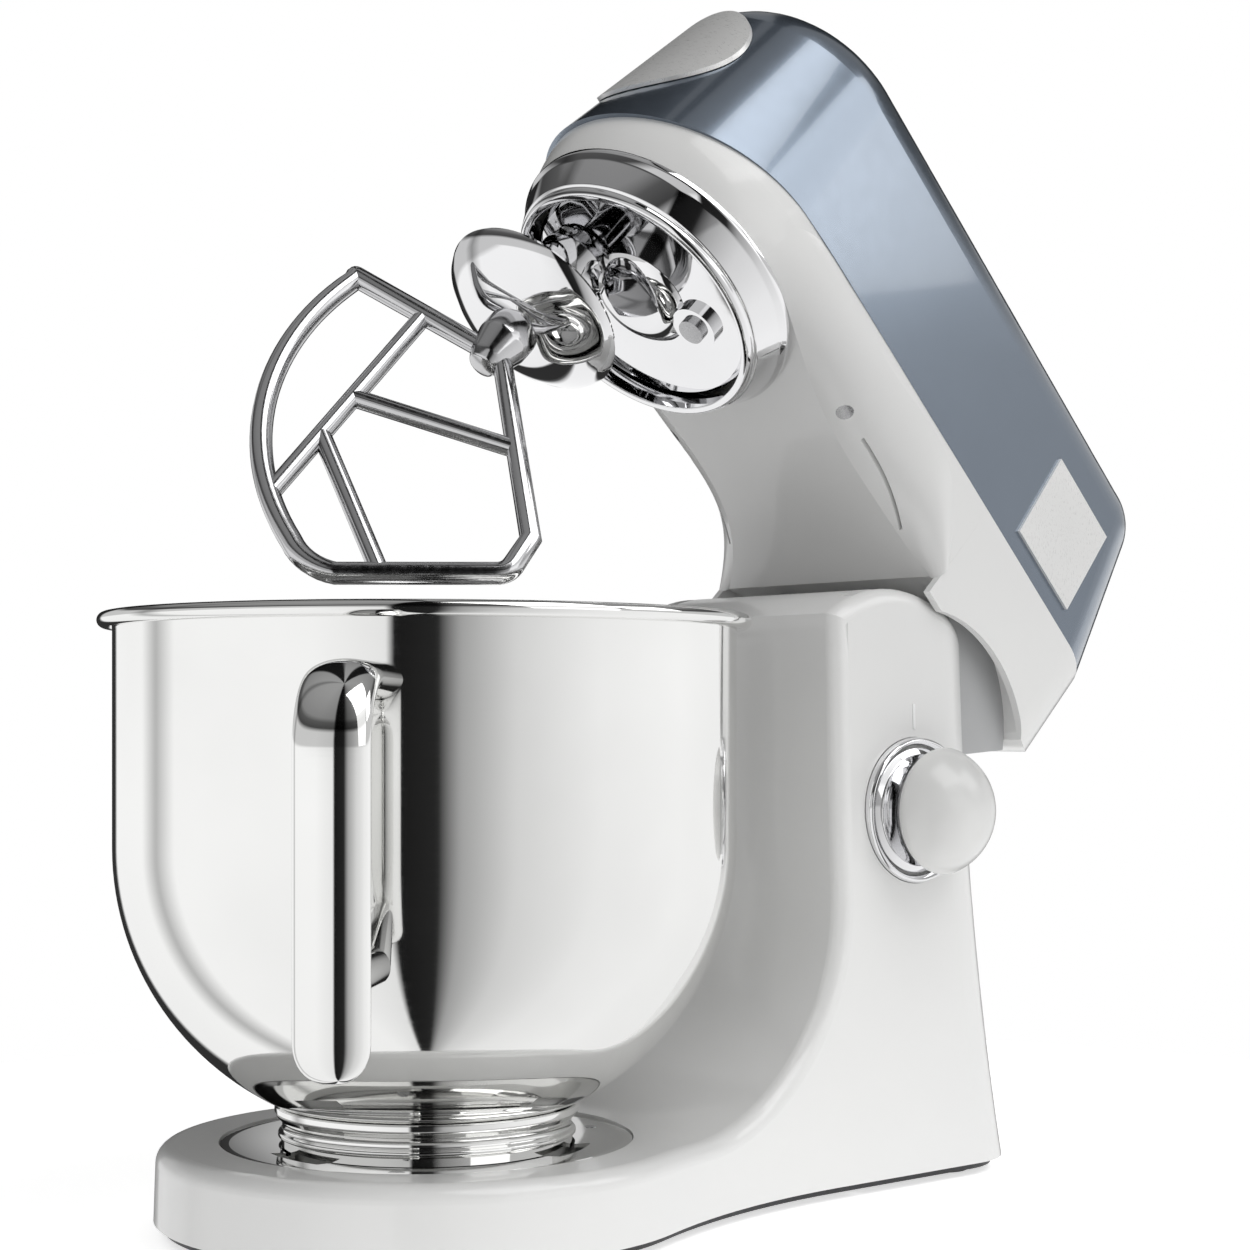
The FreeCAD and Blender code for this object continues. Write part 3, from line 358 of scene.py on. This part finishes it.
def swing_up(bm):
    """Takes a piece drawn with the head down to the raised head."""
    rotate(bm, -HEAD_TILT, "X", HINGE)


def to_tool(bm, turned=0.0):
    """Takes a piece drawn round the Z axis to the tool's shaft on the raised head."""
    rotate(bm, turned, "Z")
    move(bm, (TOOL_OFFSET * math.cos(TOOL_ANGLE), TOOL_OFFSET * math.sin(TOOL_ANGLE), 0))
    swing_up(bm)


def along_x(bm, y, z):
    """Lays a piece turned about Z along +X, through the given depth and height."""
    rotate(bm, RIGHT_ANGLE, "Y")
    move(bm, (0, y, z))


def arc(centre, r, start, end, count):
    """Points along a circle, in degrees, with both ends."""
    step = (end - start) / count
    angles = [math.radians(start + step * index) for index in range(count + 1)]
    return [(centre[0] + r * math.cos(a), centre[1] + r * math.sin(a)) for a in angles]


def through(first, middle, last, count):
    """Points of the circle through three points, from the first to the last."""
    ax, ay = first
    bx, by = middle
    cx, cy = last
    d = 2 * (ax * (by - cy) + bx * (cy - ay) + cx * (ay - by))
    a2 = ax * ax + ay * ay
    b2 = bx * bx + by * by
    c2 = cx * cx + cy * cy
    ux = (a2 * (by - cy) + b2 * (cy - ay) + c2 * (ay - by)) / d
    uy = (a2 * (cx - bx) + b2 * (ax - cx) + c2 * (bx - ax)) / d
    start = math.atan2(ay - uy, ax - ux)
    sweep = (math.atan2(cy - uy, cx - ux) - start) % math.tau
    if (math.atan2(by - uy, bx - ux) - start) % math.tau > sweep:
        sweep -= math.tau
    r = math.hypot(ax - ux, ay - uy)
    angles = [start + sweep * index / count for index in range(count + 1)]
    return [(ux + r * math.cos(a), uy + r * math.sin(a)) for a in angles]


# Bowl


def make_bowl():
    """Thin steel bowl with a rolled rim, inside and outside in one skin."""
    centre = (BOWL_R - BOWL_ARC, BOWL_ARC_Z)
    inner_r = BOWL_R - BOWL_WALL
    low = BOWL_ARC_Z - BOWL_ARC
    points = [(0, low)] + arc(centre, BOWL_ARC, -90, 0, 40)
    points += [(BOWL_R, z) for z in (WALL_LOW, WALL_MIDDLE, WALL_TOP)]
    points += arc((BOWL_R - RIM_SINK + RIM_BEAD, RIM_Z), RIM_BEAD, -150, 165, 24)
    points += [(inner_r, z) for z in (WALL_TOP_INSIDE, WALL_MIDDLE, WALL_LOW)]
    points += arc(centre, BOWL_ARC - BOWL_WALL, 0, -90, 40) + [(0, low + BOWL_WALL)]
    bm = profile(points)
    turn(bm, 200)
    piece("bowl", bm, POLISHED_STEEL, "bowl", ["bowl_shell"], sharp=60)


def make_foot_rings():
    """Stepped collar between the bowl and its bayonet ring."""
    inside = [(COLLAR_IN, COLLAR_TOP)]
    steps = [(COLLAR_IN, COLLAR_LOW), (50.6, COLLAR_LOW), (50.6, 33.2), (49.2, 34.2), (49.2, 36.6)]
    steps += [(51.8, 39.4), (51.8, COLLAR_TOP)]
    bm = profile(steps + inside, closed=True)
    soften(bm, 0.5, 3)
    turn(bm, 160)
    piece("foot_collar", bm, POLISHED_STEEL, "bowl")


def make_handle():
    """Oval bar, bent over at the top and rounded off at the bottom, with a stud to the bowl."""
    bend_x = HANDLE_REACH - HANDLE_BEND
    bend_z = HANDLE_TOP - HANDLE_BEND
    bm = bmesh.new()
    bmesh.ops.create_circle(bm, segments=56, radius=HANDLE_HALF * MM, cap_ends=False)
    rotate(bm, RIGHT_ANGLE, "Y")
    bmesh.ops.scale(bm, vec=(1, HANDLE_WIDEN, 1), verts=bm.verts[:])
    move(bm, (HANDLE_ROOT, 0, HANDLE_TOP))
    ring = push(bm, bm.edges[:], (bend_x - HANDLE_ROOT, 0, 0))
    bent = bmesh.ops.spin(
        bm, geom=ring, cent=(bend_x * MM, 0, bend_z * MM), axis=(0, 1, 0), angle=RIGHT_ANGLE,
        steps=16,
    )
    ring = [item for item in bent["geom_last"] if isinstance(item, bmesh.types.BMEdge)]
    ring = push(bm, ring, (0, 0, HANDLE_LOW + HANDLE_END - bend_z))
    turns = [math.radians(step * HANDLE_END_TURN) for step in range(HANDLE_END_STEPS + 1)]
    for last, now in zip(turns, turns[1:]):
        ring = push(bm, ring, (0, 0, HANDLE_END * (math.sin(last) - math.sin(now))))
        shrink_ring(bm, ring, (math.cos(now) / math.cos(last)) ** HANDLE_END_FULLNESS)
    bmesh.ops.contextual_create(bm, geom=ring)
    place = Matrix.Translation(Vector((STUD_X, 0, STUD_Z)) * MM)
    bmesh.ops.create_cone(
        bm, cap_ends=True, segments=40, radius1=STUD_R * MM, radius2=STUD_R * MM,
        depth=STUD_LENGTH * MM, matrix=place @ Matrix.Rotation(RIGHT_ANGLE, 4, "Y"),
    )
    clean_up(bm)
    rotate(bm, HANDLE_TURN, "Z")
    piece("handle", bm, POLISHED_STEEL, "bowl", ["bowl_handle"], sharp=40)


# Hub, splash bell and beater


def make_hub_ring():
    """Chrome skirt round the planetary hub, with a fine lip at its lower edge."""
    skirt = [(HUB_IN, HUB_TOP), (57.5, HUB_TOP), (57.5, 221.8), (55.8, 219.6), (51.6, 210.4)]
    lip = [(50.6, 210.0), (50.6, 208.4), (49.6, HUB_LOW), (HUB_IN, HUB_LOW)]
    bm = profile(skirt + lip, closed=True)
    soften(bm, 0.45, 4)
    turn(bm, 200)
    swing_up(bm)
    piece("hub_ring", bm, BRIGHT_CHROME, "head", ["hub_trim_ring"])


def make_splash_bell():
    """Thin domed guard on the tool's neck."""
    under = [(10, 172), (11, 172), (17.5, 173.2), (26, 177.6), (32.5, 182.6), (36, 187)]
    upper = [(35.4, 188.2), (31.6, 183.9), (25.4, 179.2), (17.2, 174.8), (11, 173.6), (10, 173.6)]
    bm = profile(under + upper, closed=True)
    turn(bm, 140)
    long_edges = [edge for edge in bm.edges if edge.calc_length() > 4 * MM]
    bmesh.ops.subdivide_edges(bm, edges=long_edges, cuts=1, smooth=0.6)
    to_tool(bm)
    piece("splash_bell", bm, BRIGHT_CHROME, "tool", ["splash_disc"], sharp=50)


def beater_point(b, a):
    """Point of the beater's plane: distance from the shaft, and distance below the beater's top."""
    return Vector((b * MM, 0, (BEATER_TOP - a) * MM))


def middle_line(outline):
    """Corners of the frame's middle line: its outline drawn in by half a bar."""
    bm = bmesh.new()
    face = bm.faces.new([bm.verts.new(beater_point(b, a)) for b, a in outline])
    bm.normal_update()
    bmesh.ops.inset_region(
        bm, faces=[face], thickness=BEATER_BAR / 2 * MM, use_even_offset=True, use_boundary=True,
    )
    points = [v.co.copy() for v in face.verts]
    bm.free()
    return points


def add_mesh(bm, mesh):
    """Adds a passing mesh to a bmesh and drops it."""
    bm.from_mesh(mesh)
    bpy.data.meshes.remove(mesh)


def round_bar(bm, points, r, closed=False):
    """Adds a bar with a round section along a line of points."""
    data = bpy.data.curves.new("bar", "CURVE")
    data.dimensions = "3D"
    data.bevel_depth = r * MM
    data.bevel_resolution = 6
    data.use_fill_caps = not closed
    line = data.splines.new("POLY")
    line.points.add(len(points) - 1)
    for spot, place in zip(line.points, points):
        spot.co = (*place, 1)
    line.use_cyclic_u = closed
    holder = bpy.data.objects.new("bar", data)
    add_mesh(bm, bpy.data.meshes.new_from_object(holder))
    bpy.data.objects.remove(holder)
    bpy.data.curves.remove(data)


def make_beater():
    """Cast beater: an open frame of round bars with three ribs, on a tapered sleeve."""
    outline = through((-64.5, 2), (-58, 62), (-10, 112), 30)[:-1]
    outline += through((-10, 112), (2, 116), (14, 114), 8)
    outline += through((58, 82), (62, 77.5), (63, 72), 6)
    outline += [(61.5, 58), (6, -4)]
    outline += through((-60.5, -4), (-64, -2.5), (-64.5, 2), 5)[:-1]
    bm = bmesh.new()
    round_bar(bm, middle_line(outline), BEATER_BAR / 2, closed=True)
    for start, end in BEATER_RIBS:
        round_bar(bm, [beater_point(*start), beater_point(*end)], RIB_R)
    clean_up(bm)
    sleeve = profile([(7, 182), (9, 182), (10, 181), (10, 167), (7.2, 157.5), (5.2, 154), (0, 153)])
    soften(sleeve, 0.8, 4)
    turn(sleeve, 64)
    mesh = bpy.data.meshes.new("sleeve")
    sleeve.to_mesh(mesh)
    sleeve.free()
    add_mesh(bm, mesh)
    to_tool(bm, BEATER_TURN)
    piece("flat_beater", bm, CAST_STEEL, "tool", ["beater"], sharp=40)


# Speed knob


def turn_at_knob(bm):
    """Turns a profile into a round piece on the knob's axis."""
    turn(bm, 120)
    along_x(bm, KNOB_Y, KNOB_Z)


def make_knob():
    """White dome over a waisted chrome skirt, inside a chrome ring."""
    rise = KNOB_TIP - KNOB_EDGE
    ball = (KNOB_R ** 2 + rise ** 2) / (2 * rise)
    start = 90 - math.degrees(math.asin(KNOB_R / ball))
    edge = [(KNOB_R - 1.0, SKIRT_TOP), (KNOB_R - 0.3, SKIRT_TOP + 0.3), (KNOB_R, SKIRT_TOP + 1.0)]
    dome = arc((0, KNOB_TIP - ball), ball, start, 90, 24)
    bm = profile([(0, SKIRT_TOP)] + edge + dome)
    turn_at_knob(bm)
    piece("knob_dome", bm, WHITE_PLASTIC, "knob", ["speed_knob"], sharp=40)
    foot = [(0, SKIRT_LOW), (KNOB_R, SKIRT_LOW), (KNOB_R, 60.6)]
    waist = arc(WAIST_CENTRE, WAIST_R, 205, 158, 10)
    bm = profile(foot + waist + [(22.4, 71.9), (22.2, SKIRT_TOP), (0, SKIRT_TOP)])
    soften(bm, 0.3, 3)
    turn_at_knob(bm)
    piece("knob_skirt", bm, BRIGHT_CHROME, "knob", ["knob_collar"], sharp=40)
    ring = [(24.2, 58.2), (27, 58.2), (27, 61.4), (26.2, 62.6), (25.4, 62.6), (24.2, 60.6)]
    bm = profile(ring, closed=True)
    soften(bm, 0.4, 3)
    turn_at_knob(bm)
    piece("knob_ring", bm, BRIGHT_CHROME, "base", ["knob_bezel"], sharp=40)


def make_index_mark():
    """Raised white line on the column above the speed knob, following the lean of the side."""
    middle = (MARK_LOW + MARK_HIGH) / 2
    extent = Vector((MARK_THICK, MARK_WIDE, MARK_HIGH - MARK_LOW)) * MM
    bm = bmesh.new()
    bmesh.ops.create_cube(bm, size=1.0)
    bmesh.ops.scale(bm, vec=extent, verts=bm.verts[:])
    bmesh.ops.bevel(
        bm, geom=bm.edges[:], offset=MARK_EDGE * MM, offset_type="OFFSET", segments=3, profile=0.5,
        affect="EDGES", material=-1, clamp_overlap=True,
    )
    for v in bm.verts:
        v.co.x -= v.co.z * SIDE_LEAN
    move(bm, (SIDE_X - (middle - SIDE_Z) * SIDE_LEAN, KNOB_Y, middle))
    piece("knob_index", bm, MARK_WHITE, "base")


make_index_mark()
make_bowl()
make_foot_rings()
make_handle()
make_hub_ring()
make_splash_bell()
make_beater()
make_knob()


# Camera, floor and light, in metres

CAMERA_TURN = math.radians(49.4)
CAMERA_PLACE = (0.673, -0.488, 0.170)
CAMERA_LENS = 69.85
CAMERA_SENSOR = 36.0
CAMERA_SHIFT = 0.0812
FLOOR_R = 0.46
FLOOR_PLACE = (0, 0.1, 0)
FLOOR_GLOW = 0.62
EVEN_LIGHT = 0.44
STUDIO_LIGHT = 1.05
BACKDROP_LIGHT = 1.0

# Brightness of the studio round the object, by the share of a full turn that starts behind the
# object. The dark cards stand beside the backdrop and beside the camera.
STUDIO_CARDS = [
    (0.000, 1.0), (0.016, 1.0), (0.024, 0.03), (0.080, 0.03), (0.090, 0.95), (0.170, 1.0),
    (0.198, 0.5), (0.230, 1.0), (0.400, 1.0), (0.474, 0.88), (0.479, 0.01), (0.523, 0.02),
    (0.545, 0.40), (0.600, 0.72), (0.690, 0.92), (0.800, 1.0), (0.910, 0.95), (0.920, 0.03),
    (0.976, 0.03), (0.984, 1.0), (1.000, 1.0),
]
# The same by height, from straight down to straight up: dimmer walls above eye level and a dark
# ceiling
STUDIO_HEIGHTS = [
    (0.00, 0.95), (0.515, 1.0), (0.535, 0.62), (0.66, 0.62), (0.70, 0.06), (0.76, 0.10),
    (0.80, 0.24), (1.00, 0.34),
]


def set_camera():
    data = bpy.data.cameras.new("camera")
    data.sensor_width = CAMERA_SENSOR
    data.lens = CAMERA_LENS
    data.shift_y = CAMERA_SHIFT
    camera = bpy.data.objects.new("camera", data)
    camera.location = CAMERA_PLACE
    camera.rotation_euler = (RIGHT_ANGLE, 0, CAMERA_TURN)
    bpy.context.scene.collection.objects.link(camera)
    bpy.context.scene.camera = camera


def floor_material():
    """Pale glowing sheet that glossy rays pass through."""
    material, tree, shader = new_material("pale_floor")
    shader.inputs["Base Color"].default_value = grey(0.90)
    shader.inputs["Roughness"].default_value = 0.8
    shader.inputs["Specular IOR Level"].default_value = 0.0
    shader.inputs["Emission Color"].default_value = grey(1)
    shader.inputs["Emission Strength"].default_value = FLOOR_GLOW
    clear = tree.nodes.new("ShaderNodeBsdfTransparent")
    path = tree.nodes.new("ShaderNodeLightPath")
    either = tree.nodes.new("ShaderNodeMixShader")
    tree.links.new(path.outputs["Is Glossy Ray"], either.inputs["Fac"])
    tree.links.new(shader.outputs["BSDF"], either.inputs[1])
    tree.links.new(clear.outputs["BSDF"], either.inputs[2])
    tree.links.new(either.outputs["Shader"], tree.nodes["Material Output"].inputs["Surface"])
    return material


def set_floor():
    """Round pale light table that polished pieces look through, down to the studio walls."""
    bm = bmesh.new()
    bmesh.ops.create_circle(bm, cap_ends=True, segments=128, radius=FLOOR_R)
    bmesh.ops.translate(bm, vec=FLOOR_PLACE, verts=bm.verts[:])
    mesh = bpy.data.meshes.new("floor")
    bm.to_mesh(mesh)
    bm.free()
    mesh.materials.append(floor_material())
    floor = bpy.data.objects.new("floor", mesh)
    bpy.context.scene.collection.objects.link(floor)


def soft_light(name, place, aim, wide, high, power, diffuse=True):
    """Softbox turned to a point. One without diffuse light only shows in shiny surfaces."""
    data = bpy.data.lights.new(name, "AREA")
    data.shape = "RECTANGLE"
    data.size = wide
    data.size_y = high
    data.energy = power
    lamp = bpy.data.objects.new(name, data)
    lamp.location = place
    lamp.rotation_euler = (Vector(aim) - Vector(place)).to_track_quat("-Z", "Y").to_euler()
    lamp.visible_diffuse = diffuse
    lamp.visible_camera = False
    bpy.context.scene.collection.objects.link(lamp)


def level_ramp(tree, levels):
    """Colour ramp through pairs of position and brightness."""
    node = tree.nodes.new("ShaderNodeValToRGB")
    stops = node.color_ramp.elements
    stops[0].color = grey(levels[0][1])
    stops[1].color = grey(levels[-1][1])
    for share, level in levels[1:-1]:
        stops.new(share).color = grey(level)
    return node


def background(tree, strength):
    """White background of its own strength."""
    node = tree.nodes.new("ShaderNodeBackground")
    node.inputs["Color"].default_value = grey(1)
    node.inputs["Strength"].default_value = strength
    return node


def studio_colour(tree):
    """Brightness of the studio in each direction: its cards times its heights."""
    place = tree.nodes.new("ShaderNodeTexCoord")
    aim = tree.nodes.new("ShaderNodeMapping")
    aim.vector_type = "POINT"
    aim.inputs["Rotation"].default_value = (0, 0, RIGHT_ANGLE - CAMERA_TURN)
    around = tree.nodes.new("ShaderNodeTexGradient")
    around.gradient_type = "RADIAL"
    cards = level_ramp(tree, STUDIO_CARDS)
    heights = level_ramp(tree, STUDIO_HEIGHTS)
    split = tree.nodes.new("ShaderNodeSeparateXYZ")
    lift = tree.nodes.new("ShaderNodeMapRange")
    lift.inputs["From Min"].default_value = -1.0
    both = tree.nodes.new("ShaderNodeMix")
    both.data_type = "RGBA"
    both.blend_type = "MULTIPLY"
    both.inputs["Factor"].default_value = 1.0
    link = tree.links.new
    link(place.outputs["Generated"], aim.inputs["Vector"])
    link(aim.outputs["Vector"], around.inputs["Vector"])
    link(around.outputs["Fac"], cards.inputs["Fac"])
    link(place.outputs["Generated"], split.inputs["Vector"])
    link(split.outputs["Z"], lift.inputs["Value"])
    link(lift.outputs["Result"], heights.inputs["Fac"])
    link(cards.outputs["Color"], both.inputs["A"])
    link(heights.outputs["Color"], both.inputs["B"])
    return both.outputs["Result"]


def set_world():
    """Even white light, with the studio in shiny surfaces and a white backdrop behind it all."""
    world = bpy.data.worlds.new("studio")
    world.use_nodes = True
    tree = world.node_tree
    tree.nodes.remove(tree.nodes["Background"])
    even = background(tree, EVEN_LIGHT)
    studio = background(tree, STUDIO_LIGHT)
    backdrop = background(tree, BACKDROP_LIGHT)
    path = tree.nodes.new("ShaderNodeLightPath")
    shiny = tree.nodes.new("ShaderNodeMixShader")
    seen = tree.nodes.new("ShaderNodeMixShader")
    link = tree.links.new
    link(studio_colour(tree), studio.inputs["Color"])
    link(path.outputs["Is Glossy Ray"], shiny.inputs["Fac"])
    link(even.outputs["Background"], shiny.inputs[1])
    link(studio.outputs["Background"], shiny.inputs[2])
    link(path.outputs["Is Camera Ray"], seen.inputs["Fac"])
    link(shiny.outputs["Shader"], seen.inputs[1])
    link(backdrop.outputs["Background"], seen.inputs[2])
    link(seen.outputs["Shader"], tree.nodes["World Output"].inputs["Surface"])
    bpy.context.scene.world = world


set_camera()
set_floor()
set_world()
soft_light("right_softbox", (1.3, 0.35, 0.8), (0, 0.1, 0.2), 0.9, 1.2, power=3)
soft_light("top_softbox", (0.80, 0.23, 1.42), (0.05, 0.0, 0.42), 0.95, 0.95, power=6.8)
soft_light("side_softbox", (0.9, 1.1, 1.05), (0.07, 0.15, 0.35), 0.7, 0.7, power=3.1, diffuse=False)
bpy.context.scene.view_settings.view_transform = "Standard"
